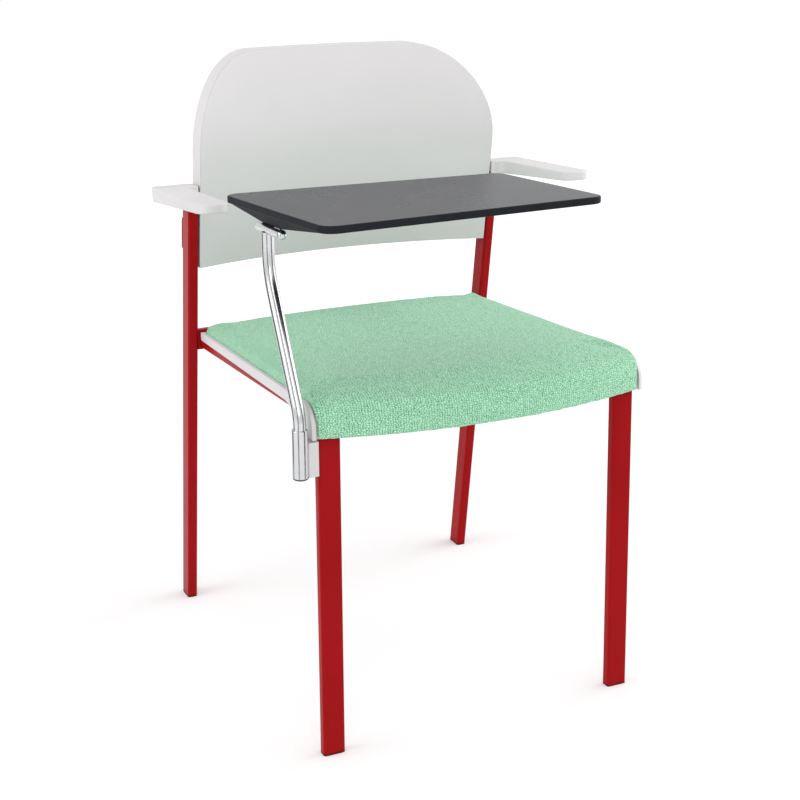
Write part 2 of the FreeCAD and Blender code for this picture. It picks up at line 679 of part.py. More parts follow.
def armrest(name, side):
    """Moulded armrest: the blank, with a recess for the rear leg's end and a spigot in the leg."""
    foot = Placement(Vector(side * size("rear_foot_x"), size("rear_foot_y"), 0), Rotation())
    direction = rear_direction()
    gap = size("fit_gap")
    recess = new_body("armrest_%s_recess" % name, foot)
    mouth = new_sketch(recess, "XY_Plane", "Mouth", direction * (size("rear_top") - size("recess_deep")))
    half_x = size("tube_thin") / 2 + gap
    half_y = size("tube_wide") / 2 + gap
    mouth.addGeometry(rounded(box_corners(-half_x, -half_y, half_x, half_y, size("tube_corner"))))
    sheared_pad(recess, mouth, "Sizes.recess_deep + Sizes.fit_gap", direction)
    cut = combine("Part::Cut", "armrest_%s_cut" % name, armrest_blank(name, side), [recess])
    spigot = new_body("armrest_%s_spigot" % name, foot)
    inset = size("tube_wall") + gap
    end = new_sketch(spigot, "XY_Plane", "End", direction * (size("rear_top") - size("spigot_long")))
    half_x = size("tube_thin") / 2 - inset
    half_y = size("tube_wide") / 2 - inset
    end.addGeometry(rounded(box_corners(-half_x, -half_y, half_x, half_y, size("tube_corner") - inset)))
    sheared_pad(spigot, end, "Sizes.spigot_long + Sizes.spigot_root", direction)
    doc.recompute()
    fused = combine("Part::Fuse", "armrest_%s_fused" % name, cut, [spigot])
    reach = size("arm_screw_long") + size("drill_lead")
    drills = drill_tools("armrest_%s" % name, [arm_screw_place(side)], reach)
    return combine("Part::Cut", "armrest_%s" % name, fused, drills)


# Socket and arm

def upright(z):
    """Place on the socket's axis, at a height."""
    return Placement(Vector(size("socket_x"), size("socket_y"), z), Rotation())


def revolved(label, place, corners):
    """Body turned from a closed half outline of (radius, height, corner radius) points."""
    body = new_body(label, place)
    half = new_sketch(body, "XZ_Plane", "Half")
    half.addGeometry(rounded(corners))
    turn = body.newObject("PartDesign::Revolution", "Turn")
    turn.Profile = half
    turn.ReferenceAxis = (half, ["V_Axis"])
    turn.Angle = 360
    return body


def socket_tube():
    """Sleeve that the arm turns in, with a slot part of the way round for the stop pin."""
    high = size("socket_top") - size("socket_low")
    sleeve = revolved("socket_sleeve", upright(size("socket_low")),
                      ((size("socket_bore"), 0, 0), (size("socket_radius"), 0, 0),
                       (size("socket_radius"), high, size("socket_edge")), (size("socket_bore"), high, 0)))
    slot = cylinder("socket_slot", "Sizes.socket_radius + Sizes.drill_lead", "Sizes.slot_high",
                    upright(size("slot_low")))
    slot.setExpression("Angle", "Sizes.slot_angle")
    slot.Placement = slot.Placement * Placement(Vector(), Rotation(Z_AXIS, size("slot_start")))
    return combine("Part::Cut", "socket_tube", sleeve, [slot])


def socket_cap():
    """Plug that closes the sleeve's lower end and carries the arm."""
    flange = size("cap_flange")
    radius = size("socket_radius")
    fit = size("socket_bore") - size("screw_gap")
    top = flange + size("cap_plug")
    return revolved("socket_cap", upright(size("socket_low") - flange),
                    ((0, 0, 0), (radius, 0, size("cap_edge")), (radius, flange, 0), (fit, flange, 0),
                     (fit, top, 0), (0, top, 0)))


def socket_bracket():
    """Moulded block between the sleeve and the right front leg, hollowed to seat the sleeve."""
    body = new_body("socket_bracket_block", Placement(Vector(0, 0, size("bracket_low")), Rotation()))
    outline = new_sketch(body, "XY_Plane", "Outline")
    edge = size("bracket_edge")
    outline.addGeometry(rounded(((size("socket_x"), size("bracket_front"), 0),
                                 (size("bracket_face"), size("bracket_front"), edge),
                                 (size("bracket_face"), size("bracket_rear"), edge),
                                 (size("socket_x"), size("bracket_rear"), size("bracket_corner")))))
    pad(body, outline, "Sizes.bracket_high")
    lead = size("drill_lead")
    tools = drill_tools("socket_bracket", bracket_bolt_places(), size("bolt_long"))
    tools.append(cylinder("bracket_seat", "Sizes.socket_radius + Sizes.touch_gap",
                          "Sizes.bracket_high + 2 * Sizes.drill_lead", upright(size("bracket_low") - lead)))
    for number, place in enumerate(bracket_bolt_places()):
        tools.append(cylinder("bracket_counterbore_%d" % number, "Sizes.screw_head + Sizes.fit_gap",
                              "Sizes.bolt_seat - Sizes.socket_x + Sizes.drill_lead", place))
    return combine("Part::Cut", "socket_bracket", body, tools)


def arm_tube():
    """Bent tube: upright in the socket, leaning back past the seat, upright again under the hinge."""
    body = new_body("arm_tube_pipe", upright(0))
    low = size("stem_low")
    top = size("hinge_z") - size("stem_clear")
    path = new_sketch(body, "YZ_Plane", "Path")
    path.addGeometry(rounded(((0, low, 0), (0, size("stem_knee_z"), size("stem_knee")),
                              (size("stem_offset"), size("stem_shoulder_z"), size("stem_shoulder")),
                              (size("stem_offset"), top, 0)), closed=False))
    section = new_sketch(body, "XY_Plane", "Section", Vector(0, 0, low))
    for radius in ("Sizes.stem_radius", "Sizes.stem_radius - Sizes.stem_wall"):
        index = section.addGeometry(Part.Circle(Vector(), Z_AXIS, size("stem_radius")))
        section.addConstraint(Sketcher.Constraint("Coincident", index, 3, -1, 1))
        constraint = section.addConstraint(Sketcher.Constraint("Radius", index, size("stem_radius") - index))
        section.setExpression("Constraints[%d]" % constraint, radius)
    pipe(body, section, path)
    cope = cylinder("arm_tube_cope", "Sizes.barrel_radius + Sizes.touch_gap",
                    "Sizes.barrel_rear - Sizes.barrel_front", along_hinge(size("barrel_rear")))
    return combine("Part::Cut", "arm_tube", body, [cope] + stop_pin_tools())


def stop_pin_place():
    """Place at the arm's axis with its Z axis along the stop pin."""
    height = size("slot_low") + size("slot_high") / 2
    return upright(height) * Placement(Vector(), Rotation(Z_AXIS, size("pin_angle")) * Rotation(Y_AXIS, 90))


def stop_pin_tools():
    """Hole in the arm tube for the stop pin."""
    return [cylinder("stop_pin_hole", "Sizes.pin_radius + Sizes.press_gap",
                     "Sizes.stem_radius + Sizes.drill_lead", stop_pin_place())]


def stop_pin():
    """Pin fixed in the arm tube that rides in the socket's slot."""
    start = stop_pin_place() * Placement(Vector(0, 0, size("pin_root")), Rotation())
    reach = size("pin_reach") - size("pin_root")
    radius = size("pin_radius")
    return revolved("stop_pin", start, ((0, 0, 0), (radius, 0, 0), (radius, reach, 0), (0, reach, 0)))


def arm_plug():
    """Plastic foot in the arm tube's lower end, which turns on the socket's cap."""
    flange = size("plug_flange")
    top = flange + size("plug_long")
    radius = size("stem_radius") - size("fit_gap")
    bore = size("stem_radius") - size("stem_wall") - size("screw_gap")
    return revolved("arm_plug", upright(size("stem_low") - flange),
                    ((0, 0, 0), (radius, 0, 0), (radius, flange, 0), (bore, flange, 0), (bore, top, 0),
                     (0, top, 0)))


# Tablet and hinge

def hinge_barrel():
    """Sleeve welded across the arm tube's top."""
    long = size("barrel_rear") - size("barrel_front")
    bore = size("barrel_bore")
    radius = size("barrel_radius")
    return revolved("hinge_barrel", along_hinge(size("barrel_rear")),
                    ((bore, 0, 0), (radius, 0, size("hinge_edge")), (radius, long, size("hinge_edge")),
                     (bore, long, 0)))


def hinge_knuckle():
    """Tablet's half of the hinge: a sleeve on the pin with a lug up to the housing."""
    start = size("barrel_front") - size("hinge_gap")
    long = start - size("knuckle_front")
    bore = size("hinge_pin_radius") + size("press_gap")
    radius = size("barrel_radius")
    sleeve = revolved("hinge_knuckle_sleeve", along_hinge(start),
                      ((bore, 0, 0), (radius, 0, size("hinge_edge")), (radius, long, 0), (bore, long, 0)))
    lug = new_body("hinge_knuckle_lug", tablet_place())
    foot = new_sketch(lug, "XY_Plane", "Foot", Vector(0, 0, size("lug_rise")))
    foot.addGeometry(rounded(box_corners(size("lug_low"), size("knuckle_front"), size("lug_high"),
                                         start - size("hinge_edge"), size("lug_corner"))))
    pad(lug, foot, "Sizes.housing_low - Sizes.lug_rise")
    return combine("Part::Fuse", "hinge_knuckle", sleeve, [lug])


def hinge_pin():
    """Pin fixed in the knuckle, turning in the barrel, with a domed head behind the barrel."""
    head = size("pin_head")
    gap = size("hinge_gap")
    shank = size("hinge_pin_radius")
    wide = size("barrel_radius") - gap
    end = head + size("barrel_rear") - size("knuckle_front") - gap
    return revolved("hinge_pin", along_hinge(size("barrel_rear") + head + gap),
                    ((0, 0, 0), (wide, 0, size("pin_dome")), (wide, head, 0), (shank, head, 0), (shank, end, 0),
                     (0, end, 0)))


def hinge_cap():
    """Domed end on the knuckle's front."""
    radius = size("barrel_radius")
    near = size("fit_gap")
    far = size("hinge_cap_long")
    return revolved("hinge_cap", along_hinge(size("knuckle_front")),
                    ((0, near, 0), (radius, near, 0), (radius, far, size("cap_dome")), (0, far, 0)))


# Tablet outline in the hinge's frame: X from the hinge, Y along it
BOARD_CORNERS = ((-32, 84), (-18, -214), (351, -189.5), (346, 64))
HOUSING_FOOT = ((-1, 34), (-1, -36), (44, -36), (44, 34))
HOUSING_RIM = ((-29, 80), (-16.5, -208), (92, -200), (92, 72))
TABLET_SCREWS = ((18, -24), (36, -24), (18, 22), (36, 22))
TABLET_SCREW_SCALE = 0.8


def tablet_screw_places():
    """Tablet screws, head down under the housing's foot."""
    return [tablet_place() * Placement(Vector(x, y, size("housing_low")), Rotation(X_AXIS, 180))
            for x, y in TABLET_SCREWS]


def tablet_drills(label):
    reach = size("board_low") - size("housing_low") + size("tablet_bite") + size("fit_gap")
    radius = "%g * Sizes.screw_radius + Sizes.screw_gap" % TABLET_SCREW_SCALE
    return drill_tools(label, tablet_screw_places(), reach, radius)


def tablet_board():
    """Writing board, deeper at the hinge end than at the free end."""
    body = new_body("tablet_board_blank", tablet_place())
    outline = new_sketch(body, "XY_Plane", "Outline", Vector(0, 0, size("board_low")))
    outline.addGeometry(rounded([(x, y, size("board_corner")) for x, y in BOARD_CORNERS]))
    block = pad(body, outline, "Sizes.board_thick")
    middle = size("board_low") + size("board_thick") / 2
    edge_round = size("board_edge")
    round_edges(body, block, "Sizes.board_edge", lambda edge: abs(edge.CenterOfMass.z - middle) > edge_round)
    return combine("Part::Cut", "tablet_board", body, tablet_drills("tablet_board"))


def hinge_housing():
    """Hollow inverted pyramid from the board's hinge end down to the foot on the hinge, with screw posts."""
    body = new_body("hinge_housing_shell", tablet_place())
    wall = size("housing_wall")
    low = size("housing_low")
    high = size("board_low")

    def level(name, z, corners, inset, radius):
        middle = sum((Vector(x, y, 0) for x, y in corners), Vector()) / len(corners)
        sketch = new_sketch(body, "XY_Plane", name, Vector(0, 0, z))
        moved = [(x + math.copysign(inset, middle.x - x), y + math.copysign(inset, middle.y - y),
                  radius - inset) for x, y in corners]
        sketch.addGeometry(rounded(moved))
        return sketch
    foot_round = size("foot_corner")
    rim_round = size("rim_corner")
    loft(body, [level("Foot", low, HOUSING_FOOT, 0, foot_round), level("Rim", high, HOUSING_RIM, 0, rim_round)])
    loft(body, [level("InnerFoot", low + wall, HOUSING_FOOT, wall, foot_round),
                level("InnerRim", high, HOUSING_RIM, wall, rim_round)], "PartDesign::SubtractiveLoft")
    root = size("post_root")
    posts = [cylinder("housing_post_%d" % number, "Sizes.post_radius",
                      "Sizes.board_low - Sizes.housing_low - Sizes.post_root",
                      tablet_place() * Placement(Vector(x, y, low + root), Rotation()))
             for number, (x, y) in enumerate(TABLET_SCREWS)]
    doc.recompute()
    fused = combine("Part::Fuse", "hinge_housing_posts", body, posts)
    return combine("Part::Cut", "hinge_housing", fused, tablet_drills("hinge_housing"))


# The chair, piece by piece

nodes = []
for name, side in SIDES:
    inward = -side * lean("front_lean_in")
    nodes.append(front_leg(name, side))
    nodes.append(rear_leg(name, side))
    nodes.append(glide("glide_front_%s" % name, Vector(side * size("front_foot_x"), size("front_foot_y"), 0),
                       Vector(inward, lean("front_lean_back"), 1), "tube_wide", "tube_thin"))
    nodes.append(glide("glide_rear_%s" % name, Vector(side * size("rear_foot_x"), size("rear_foot_y"), 0),
                       rear_direction(), "tube_thin", "tube_wide"))
    nodes.append(back_plate(name, side))
    nodes.append(armrest(name, side))
nodes.append(cross_rail("rear_cross_rail", "cross_rear_y", size("cross_rear_z"), "cross_rear_half",
                        "tube_thin", "tube_wide"))
nodes.append(cross_rail("front_cross_rail", "cross_front_y", size("tube_thin") / 2, "cross_front_half",
                        "tube_wide", "tube_thin"))
nodes += [seat_pan(), seat_pad(), back_shell(), socket_tube(), socket_cap(), socket_bracket()]
nodes += [arm_tube(), arm_plug(), stop_pin(), hinge_barrel()]
nodes += [tablet_board(), hinge_housing(), hinge_knuckle(), hinge_pin(), hinge_cap()]
seat_places = seat_screw_places()
nodes.append(screw_group("seat_screws", seat_places[-1] + seat_places[1], size("pan_floor") - size("pan_lip")))
nodes.append(screw_group("back_screws", back_screw_places(-1) + back_screw_places(1),
                         size("back_screw_long")))
nodes.append(screw_group("armrest_screws", [arm_screw_place(-1), arm_screw_place(1)],
                         size("arm_screw_long")))
nodes.append(screw_group("bracket_bolts", bracket_bolt_places(), size("bolt_long")))
nodes.append(screw_group("tablet_screws", tablet_screw_places(),
                         size("board_low") - size("housing_low") + size("tablet_bite"), TABLET_SCREW_SCALE))

doc.recompute()
for item in doc.Objects:
    if "Invalid" in item.State or "Error" in item.State:
        raise RuntimeError("%s failed: %s" % (item.Label, item.State))
for node in nodes:
    if node.Shape.isNull() or not node.Shape.isValid() or not node.Shape.Solids:
        raise RuntimeError("%s has no valid shape" % node.Label)

os.makedirs("parts", exist_ok=True)
for node in nodes:
    node.Shape.exportStep(os.path.join("parts", node.Label + ".step"))
    print("%-20s %2d solid %9.1f mm3" % (node.Label, len(node.Shape.Solids), node.Shape.Volume))
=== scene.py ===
import math

import bpy
import numpy as np
from mathutils import Matrix, Vector


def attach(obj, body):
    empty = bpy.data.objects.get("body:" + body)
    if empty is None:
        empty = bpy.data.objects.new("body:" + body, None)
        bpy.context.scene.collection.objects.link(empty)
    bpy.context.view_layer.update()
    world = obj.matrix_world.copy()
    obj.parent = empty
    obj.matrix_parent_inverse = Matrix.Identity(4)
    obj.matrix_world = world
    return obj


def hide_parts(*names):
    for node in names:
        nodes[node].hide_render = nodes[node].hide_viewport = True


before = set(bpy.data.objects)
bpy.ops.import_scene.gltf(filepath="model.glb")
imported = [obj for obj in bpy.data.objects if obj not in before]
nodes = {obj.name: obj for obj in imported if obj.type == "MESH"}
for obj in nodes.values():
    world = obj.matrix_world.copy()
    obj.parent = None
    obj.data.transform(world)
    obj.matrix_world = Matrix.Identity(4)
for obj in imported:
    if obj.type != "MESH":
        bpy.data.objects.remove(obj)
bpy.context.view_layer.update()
scene = bpy.context.scene

# The CAD pad, in metres, in a seat frame that starts at the rear end of the side rails' underside
# and slopes up to the front
SEAT = Matrix.Translation((0, 0.23935, 0.4258)) @ Matrix.Rotation(math.radians(-3.29), 4, "X")
PAD_TOP = 0.039
PAD_CROWN = 0.0035
PAD_ROUND = 0.034
PAD_EDGE = 0.010
PAD_HALF = 0.2237
PAD_FLARE = math.tan(math.radians(0.9))
PAD_FRONT_MIDDLE = -0.491
PAD_FRONT_SIDE = -0.450
PAN_RIM = 0.0264

# The cushion's mesh and its cloth simulation
VOXEL = 0.004
PRESSURE = 4.0
STIFFNESS = 20
BENDING = 2.0
LAST_FRAME = 20
MOST_SWELL = 0.0035
ABOVE_RIM = 0.003
BEHIND_FRONT = 0.0025
FACING = 0.2

# The cover's weave: sizes in metres, the rest as shares
LUMP = 0.0026
LUMP_STRETCH = (0.80, 1.10, 1)
LUMP_DISORDER = 0.70
LUMP_GAP = 0.25
WANDER_SCALE = 300.0
WANDER = 0.0035
FIBRE_SCALE = 2400.0
FIBRE_RISE = 0.30
OWN_SHADE = 0.15
# Share of the colour that follows the weave's height: painted shade in the gaps between lumps
HEIGHT_PAINTED_SHADE = 0.60
WEAVE_DEPTH = 0.0006
WEAVE_STRENGTH = 0.65
# Weave colours from the gaps up to the lumps' tops; the dark low end is painted shade
WEAVE_COLOURS = ((0.16, (0.05, 0.26, 0.115)), (0.42, (0.29, 0.64, 0.40)),
                 (0.66, (0.44, 0.81, 0.56)), (0.90, (0.55, 0.92, 0.68)))

# The studio, in metres
WHITE = (1, 1, 1, 1)
AIM = (0, 0, 0.5)
WORLD_LIGHT = 0.80
WALLS_SEEN = 1.0
FLOOR_REACH = 12.0
FLOOR_GLOW = {"From Min": 0.5, "From Max": 3.0, "To Min": 0.16, "To Max": 0.46}
CARD_CENTRE = Vector((-0.25, -0.16, 0))
CARD_DISTANCE = 0.95
CARD_HEIGHT = 1.6


def add(tree, kind, inputs=None, **settings):
    """One shader node with its settings, and its inputs set or linked."""
    made = tree.nodes.new(kind)
    for key, value in settings.items():
        setattr(made, key, value)
    for key, value in (inputs or {}).items():
        if isinstance(value, bpy.types.NodeSocket):
            tree.links.new(value, made.inputs[key])
        else:
            made.inputs[key].default_value = value
    return made


def ramp(tree, factor, stops):
    """Colour ramp with (position, colour) stops."""
    made = add(tree, "ShaderNodeValToRGB", {"Fac": factor})
    points = made.color_ramp.elements
    while len(points) < len(stops):
        points.new(0.5)
    for point, (position, colour) in zip(points, stops):
        point.position = position
        point.color = (*colour, 1)
    return made.outputs["Color"]


def mottle(tree, factor, dark, light):
    """Two colours that a noise factor drifts between."""
    return ramp(tree, factor, ((0.3, dark), (0.7, light)))


def maths(tree, operation, first, second, third=0.0):
    inputs = {0: first, 1: second, 2: third}
    return add(tree, "ShaderNodeMath", inputs, operation=operation).outputs[0]


def vector_maths(tree, operation, first, second):
    inputs = {0: first, 1: second}
    return add(tree, "ShaderNodeVectorMath", inputs, operation=operation).outputs[0]


def noise(tree, coords, scale, detail=2.0, roughness=0.5):
    inputs = {"Vector": coords, "Scale": scale, "Detail": detail, "Roughness": roughness}
    return add(tree, "ShaderNodeTexNoise", inputs).outputs["Fac"]


def spread(tree, factor, low, high):
    """A 0 to 1 factor mapped to a range."""
    inputs = {"Value": factor, "To Min": low, "To Max": high}
    return add(tree, "ShaderNodeMapRange", inputs).outputs["Result"]


def smooth_step(tree, value, limits):
    """A value eased between limits."""
    return add(tree, "ShaderNodeMapRange", {"Value": value, **limits},
               interpolation_type="SMOOTHSTEP").outputs["Result"]


def object_coords(tree):
    return add(tree, "ShaderNodeTexCoord").outputs["Object"]


def material(name):
    made = bpy.data.materials.new(name)
    made.use_nodes = True
    tree = made.node_tree
    tree.nodes.clear()
    shader = add(tree, "ShaderNodeBsdfPrincipled")
    add(tree, "ShaderNodeOutputMaterial", {"Surface": shader.outputs["BSDF"]})
    return made, tree, shader


def finish(name, base, colour_change, colour_scale, rough, rough_scale, bump_scale, bump_mm, edge_mm,
           specular=0.5, metallic=0.0):
    """Finish whose colour, roughness and grain vary over the surface, with softly rounded edges."""
    made, tree, shader = material(name)
    coords = object_coords(tree)
    drift = noise(tree, coords, colour_scale, detail=3.0)
    dark = tuple(value * (1 - colour_change) for value in base)
    light = tuple(min(1.0, value * (1 + colour_change)) for value in base)
    tree.links.new(mottle(tree, drift, dark, light), shader.inputs["Base Color"])
    patches = noise(tree, coords, rough_scale, detail=4.0)
    tree.links.new(spread(tree, patches, *rough), shader.inputs["Roughness"])
    grain = noise(tree, coords, bump_scale)
    rounding = add(tree, "ShaderNodeBevel", {"Radius": edge_mm / 1000}, samples=4)
    bump = add(tree, "ShaderNodeBump", {"Height": grain, "Distance": bump_mm / 1000, "Strength": 1.0,
                                        "Normal": rounding.outputs["Normal"]})
    tree.links.new(bump.outputs["Normal"], shader.inputs["Normal"])
    shader.inputs["Specular IOR Level"].default_value = specular
    shader.inputs["Metallic"].default_value = metallic
    return made


def crepe_fabric():
    """Coarse crepe: small uneven lumps of twisted yarn, each in its own tone, with painted shade
    darkening the gaps between them.
    """
    made, tree, shader = material("mint_crepe_weave")
    flat = add(tree, "ShaderNodeAttribute", attribute_name="weave").outputs["Vector"]
    wander = add(tree, "ShaderNodeTexNoise", {"Vector": flat, "Scale": WANDER_SCALE, "Detail": 1.0})
    wander = vector_maths(tree, "SUBTRACT", wander.outputs["Color"], (0.5, 0.5, 0.5))
    wander = add(tree, "ShaderNodeVectorMath", {0: wander, "Scale": WANDER}, operation="SCALE").outputs[0]
    moved = vector_maths(tree, "ADD", flat, wander)
    longer = vector_maths(tree, "MULTIPLY", moved, LUMP_STRETCH)
    lumps = {"Vector": longer, "Scale": 1 / LUMP, "Randomness": LUMP_DISORDER}
    gap, own = [add(tree, "ShaderNodeTexVoronoi", lumps, voronoi_dimensions="2D", feature=feature)
                for feature in ("DISTANCE_TO_EDGE", "F1")]
    rise = smooth_step(tree, gap.outputs["Distance"], {"From Max": LUMP_GAP})
    fibres = noise(tree, flat, FIBRE_SCALE, detail=3.0, roughness=0.7)
    height = maths(tree, "MULTIPLY_ADD", fibres, FIBRE_RISE, rise)
    shade = add(tree, "ShaderNodeSeparateColor", {0: own.outputs["Color"]}).outputs["Green"]
    # The colour darkens where the weave is low: painted shade in the gaps between lumps
    tone = maths(tree, "MULTIPLY_ADD", shade, OWN_SHADE, maths(tree, "MULTIPLY", height, HEIGHT_PAINTED_SHADE))
    tree.links.new(ramp(tree, tone, WEAVE_COLOURS), shader.inputs["Base Color"])
    shader.inputs["Roughness"].default_value = 0.9
    shader.inputs["Specular IOR Level"].default_value = 0.2
    shader.inputs["Sheen Weight"].default_value = 0.25
    shader.inputs["Sheen Roughness"].default_value = 0.5
    bump = add(tree, "ShaderNodeBump", {"Height": height, "Distance": WEAVE_DEPTH,
                                        "Strength": WEAVE_STRENGTH})
    tree.links.new(bump.outputs["Normal"], shader.inputs["Normal"])
    return made


def paint(look, names):
    """One finish on several CAD nodes, or on new pieces."""
    for name in names:
        target = nodes[name] if isinstance(name, str) else name
        target.data.materials.clear()
        target.data.materials.append(look)


def band_round(board, look):
    """A second finish on every face of the board but the writing face."""
    board.data.materials.append(look)
    for face in board.data.polygons:
        face.material_index = 0 if face.normal.z > 0.9 else 1


def front_line(x):
    """Y of the pad's bowed front at a distance from the middle, in the seat frame."""
    half = PAD_HALF - PAD_FRONT_SIDE * PAD_FLARE
    bow = np.clip(np.abs(x) / half, 0, 1) ** 2
    return PAD_FRONT_MIDDLE + (PAD_FRONT_SIDE - PAD_FRONT_MIDDLE) * bow


def flat_cloth(points):
    """Where points lie on the cover laid flat: across the seat, and along it over its ends."""
    x, y, z = points[:, 0], points[:, 1], points[:, 2]
    behind = y - front_line(x)
    below = PAD_TOP + PAD_CROWN - z
    turn = np.arctan2(PAD_ROUND - behind, np.maximum(PAD_ROUND - below, 1e-6))
    down = PAD_ROUND * math.pi / 2 + below - PAD_ROUND
    along = np.where(behind > PAD_ROUND, PAD_ROUND - behind,
                     np.where(below > PAD_ROUND, down, PAD_ROUND * turn))
    along = along - np.where(y > y.max() - PAD_EDGE, below, 0)
    half = PAD_HALF - y * PAD_FLARE
    over_side = np.where((np.abs(x) > half - PAD_EDGE) & (behind > PAD_ROUND), below, 0)
    across = x + np.sign(x) * over_side
    return np.stack((across, along, np.zeros(len(x))), axis=1)


def read(mesh, what):
    """A vector of every vertex, its place or its normal."""
    flat = np.zeros(len(mesh.vertices) * 3, np.float32)
    mesh.vertices.foreach_get(what, flat)
    return flat.reshape(-1, 3).astype(float)


def baked(obj):
    """The object's mesh with its modifiers applied."""
    graph = bpy.context.evaluated_depsgraph_get()
    return bpy.data.meshes.new_from_object(obj.evaluated_get(graph))


def seat_cushion():
    """Foam pad in a tight woven cover: the CAD pad remeshed, and blown up a little as cloth."""
    mesh = nodes["seat_pad"].data.copy()
    mesh.transform(SEAT.inverted())
    made = bpy.data.objects.new("seat_cushion", mesh)
    scene.collection.objects.link(made)
    remesh = made.modifiers.new("Remesh", "REMESH")
    remesh.mode = "VOXEL"
    remesh.voxel_size = VOXEL
    remesh.use_smooth_shade = True
    soften = made.modifiers.new("Soften", "SMOOTH")
    soften.factor = 0.5
    soften.iterations = 2
    mesh = baked(made)
    made.modifiers.clear()
    made.data = mesh
    rest = read(mesh, "co")
    blow_up(made, rest)
    weave = mesh.attributes.new("weave", "FLOAT_VECTOR", "POINT")
    weave.data.foreach_set("vector", flat_cloth(rest).astype(np.float32).ravel())
    mesh.transform(SEAT)
    smoother = made.modifiers.new("Smoother", "SUBSURF")
    smoother.levels = 1
    smoother.render_levels = 1
    return made


def blow_up(obj, rest):
    """Cloth pressure on what the cover shows; the parts in the pan are held."""
    normals = read(obj.data, "normal")
    above = (rest[:, 2] > PAN_RIM + ABOVE_RIM) & (normals[:, 2] > -FACING)
    front = (rest[:, 1] < front_line(rest[:, 0]) + BEHIND_FRONT) & (normals[:, 1] < -FACING)
    inside = np.nonzero(~(above | front))[0]
    obj.vertex_groups.new(name="held").add([int(index) for index in inside], 1.0, "REPLACE")
    cloth = obj.modifiers.new("Cloth", "CLOTH")
    settings = cloth.settings
    settings.vertex_group_mass = "held"
    settings.use_pressure = True
    settings.uniform_pressure_force = PRESSURE
    settings.effector_weights.gravity = 0.0
    settings.quality = 4
    settings.tension_stiffness = STIFFNESS
    settings.compression_stiffness = STIFFNESS
    settings.bending_stiffness = BENDING
    cloth.collision_settings.use_collision = False
    cloth.point_cache.frame_start = 1
    cloth.point_cache.frame_end = LAST_FRAME
    for number in range(1, LAST_FRAME + 1):
        scene.frame_set(number)
    moved = read(baked(obj), "co") - rest
    scene.frame_set(1)
    obj.modifiers.clear()
    length = np.linalg.norm(moved, axis=1, keepdims=True)
    moved *= MOST_SWELL / np.maximum(length, MOST_SWELL)
    obj.data.vertices.foreach_set("co", (rest + moved).astype(np.float32).ravel())
    obj.data.update()


def camera():
    """The photo's camera, as fitted to its straight edges."""
    lens = bpy.data.cameras.new("photo_camera")
    lens.lens = 70
    lens.sensor_width = 36
    made = bpy.data.objects.new("photo_camera", lens)
    made.location = (-0.8882, -1.85245, 1.0850)
    made.rotation_euler = (math.radians(71.28), 0, math.radians(-25.09))
    scene.collection.objects.link(made)
    scene.camera = made


def soft_light(name, place, size, power):
    """Rectangular lamp that points at the chair."""
    lamp = bpy.data.lights.new(name, "AREA")
    lamp.shape = "RECTANGLE"
    lamp.size, lamp.size_y = size
    lamp.energy = power
    made = bpy.data.objects.new(name, lamp)
    made.location = place
    made.rotation_euler = (Vector(AIM) - Vector(place)).to_track_quat("-Z", "Y").to_euler()
    scene.collection.objects.link(made)


def seen_rays(tree):
    """1 for direct, mirrored and transmitted rays, which see the studio's white; 0 for its light."""
    path = add(tree, "ShaderNodeLightPath").outputs
    mirrored = maths(tree, "MAXIMUM", path["Is Glossy Ray"], path["Is Transmission Ray"])
    return maths(tree, "MAXIMUM", path["Is Camera Ray"], mirrored)


def surroundings():
    """White studio round the chair, with an even light that is softer than its walls look."""
    world = bpy.data.worlds.new("studio")
    scene.world = world
    world.use_nodes = True
    tree = world.node_tree
    tree.nodes.clear()
    light, walls = [add(tree, "ShaderNodeBackground", {"Color": WHITE, "Strength": strength}).outputs[0]
                    for strength in (WORLD_LIGHT, WALLS_SEEN)]
    whole = add(tree, "ShaderNodeMixShader", {0: seen_rays(tree), 1: light, 2: walls})
    add(tree, "ShaderNodeOutputWorld", {"Surface": whole.outputs[0]})


def sheet(name, corners):
    """Flat stage piece with an empty material, and that material's tree."""
    mesh = bpy.data.meshes.new(name)
    mesh.from_pydata(corners, [], [(0, 1, 2, 3)])
    made = bpy.data.objects.new(name, mesh)
    scene.collection.objects.link(made)
    look = bpy.data.materials.new(name)
    look.use_nodes = True
    look.node_tree.nodes.clear()
    mesh.materials.append(look)
    return made, look.node_tree


def matt_grey(tree, scale, dark, light):
    """Matt grey that drifts between two shades."""
    tint = mottle(tree, noise(tree, object_coords(tree), scale), (dark,) * 3, (light,) * 3)
    return add(tree, "ShaderNodeBsdfDiffuse", {"Color": tint}).outputs[0]


def floor():
    """White paper that takes the chair's shadow and runs out into the white of the walls."""
    sides = ((-1, -1), (1, -1), (1, 1), (-1, 1))
    _, tree = sheet("studio_floor", [(x * FLOOR_REACH, y * FLOOR_REACH, 0) for x, y in sides])
    paper = matt_grey(tree, 3.0, 0.80, 0.82)
    away = add(tree, "ShaderNodeVectorMath", {0: object_coords(tree)}, operation="LENGTH")
    white = smooth_step(tree, away.outputs["Value"], FLOOR_GLOW)
    strength = maths(tree, "MULTIPLY", seen_rays(tree), white)
    glow = add(tree, "ShaderNodeEmission", {"Color": WHITE, "Strength": strength})
    both = add(tree, "ShaderNodeAddShader", {0: paper, 1: glow.outputs[0]})
    add(tree, "ShaderNodeOutputMaterial", {"Surface": both.outputs[0]})


def dark_card(name, heading, wide):
    """Dark card beside the arm, seen only in reflections, which draws a dark line in its chrome."""
    turn = math.radians(heading)
    middle = CARD_CENTRE + Vector((math.cos(turn), math.sin(turn), 0)) * CARD_DISTANCE
    half = Vector((-math.sin(turn), math.cos(turn), 0)) * wide / 2
    up = Vector((0, 0, CARD_HEIGHT))
    made, tree = sheet(name, [middle - half, middle + half, middle + half + up, middle - half + up])
    add(tree, "ShaderNodeOutputMaterial", {"Surface": matt_grey(tree, 4.0, 0.02, 0.03)})
    made.visible_camera = False
    made.visible_diffuse = False
    made.visible_shadow = False


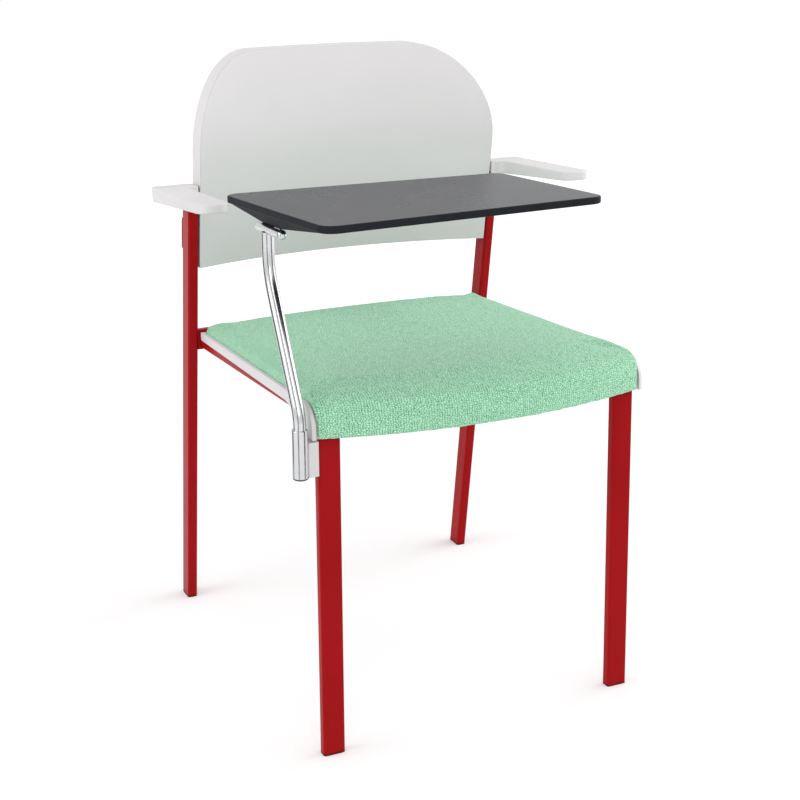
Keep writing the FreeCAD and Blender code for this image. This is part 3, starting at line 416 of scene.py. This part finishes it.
# Finishes on the CAD pieces
paint(finish("red_enamel_paint", base=(0.34, 0.006, 0.008), colour_change=0.06, colour_scale=9.0,
             rough=(0.18, 0.28), rough_scale=30.0, bump_scale=420.0, bump_mm=0.04, edge_mm=0.8,
             specular=0.05),
      ["front_leg_right", "front_leg_left", "rear_leg_right", "rear_leg_left", "rear_cross_rail",
       "front_cross_rail", "back_plate_right", "back_plate_left"])
paint(finish("grey_moulding", base=(0.675, 0.655, 0.665), colour_change=0.02, colour_scale=7.0,
             rough=(0.38, 0.52), rough_scale=60.0, bump_scale=1500.0, bump_mm=0.05, edge_mm=1.2),
      ["seat_pan", "back_shell", "armrest_right", "armrest_left", "socket_bracket"])
paint(finish("dark_red_moulding", base=(0.14, 0.005, 0.007), colour_change=0.12, colour_scale=60.0,
             rough=(0.45, 0.6), rough_scale=90.0, bump_scale=1800.0, bump_mm=0.05, edge_mm=0.5,
             specular=0.1),
      ["glide_front_right", "glide_front_left", "glide_rear_right", "glide_rear_left"])
paint(finish("black_moulding", base=(0.018, 0.018, 0.019), colour_change=0.15, colour_scale=60.0,
             rough=(0.45, 0.6), rough_scale=90.0, bump_scale=1800.0, bump_mm=0.05, edge_mm=0.5),
      ["arm_plug", "socket_cap"])
paint(finish("polished_chrome", base=(0.60, 0.605, 0.615), colour_change=0.02, colour_scale=40.0,
             rough=(0.17, 0.23), rough_scale=120.0, bump_scale=900.0, bump_mm=0.004, edge_mm=0.4,
             metallic=1.0),
      ["socket_tube", "arm_tube", "hinge_barrel", "hinge_knuckle", "hinge_cap"])
paint(finish("zinc_plating", base=(0.56, 0.57, 0.58), colour_change=0.10, colour_scale=150.0,
             rough=(0.25, 0.42), rough_scale=300.0, bump_scale=1500.0, bump_mm=0.02, edge_mm=0.3,
             metallic=1.0),
      ["stop_pin", "hinge_pin", "seat_screws", "back_screws", "armrest_screws", "bracket_bolts",
       "tablet_screws"])
# Satin laminate on the writing face, a duller band on the board's edge and underside. The writing face's
# lighter colour is partly the laminate's own and partly painted sheen, standing in for the light it
# reflects
paint(finish("anthracite_laminate_painted_sheen", base=(0.050, 0.052, 0.057), colour_change=0.03, colour_scale=25.0,
             rough=(0.265, 0.285), rough_scale=14.0, bump_scale=2200.0, bump_mm=0.0002, edge_mm=0.8,
             specular=0.06),
      ["tablet_board"])
band_round(nodes["tablet_board"],
           finish("anthracite_edge_band", base=(0.017, 0.019, 0.023), colour_change=0.12,
                  colour_scale=35.0, rough=(0.42, 0.55), rough_scale=60.0, bump_scale=1900.0,
                  bump_mm=0.03, edge_mm=0.8, specular=0.05))
paint(finish("anthracite_moulding", base=(0.015, 0.017, 0.021), colour_change=0.12, colour_scale=30.0,
             rough=(0.50, 0.62), rough_scale=50.0, bump_scale=1700.0, bump_mm=0.04, edge_mm=1.0,
             specular=0.03),
      ["hinge_housing"])

# The cushion in place of its CAD solid
cushion = seat_cushion()
paint(crepe_fabric(), [cushion])
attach(cushion, "chair")
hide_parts("seat_pad")

# Camera, floor and light
camera()
surroundings()
floor()
dark_card("card_left", heading=137, wide=0.50)
dark_card("card_near", heading=-130, wide=0.22)
dark_card("card_right", heading=-45, wide=0.34)
soft_light("key", place=(-1.2, -3.0, 2.2), size=(2.4, 2.0), power=22)
soft_light("fill", place=(2.8, -1.8, 1.7), size=(2.0, 2.0), power=16)
soft_light("side_left", place=(2.6, 0.1, 1.75), size=(1.8, 1.4), power=28)
soft_light("side_right", place=(-2.6, 0.1, 1.75), size=(1.8, 1.4), power=23)
scene.view_settings.view_transform = "Standard"
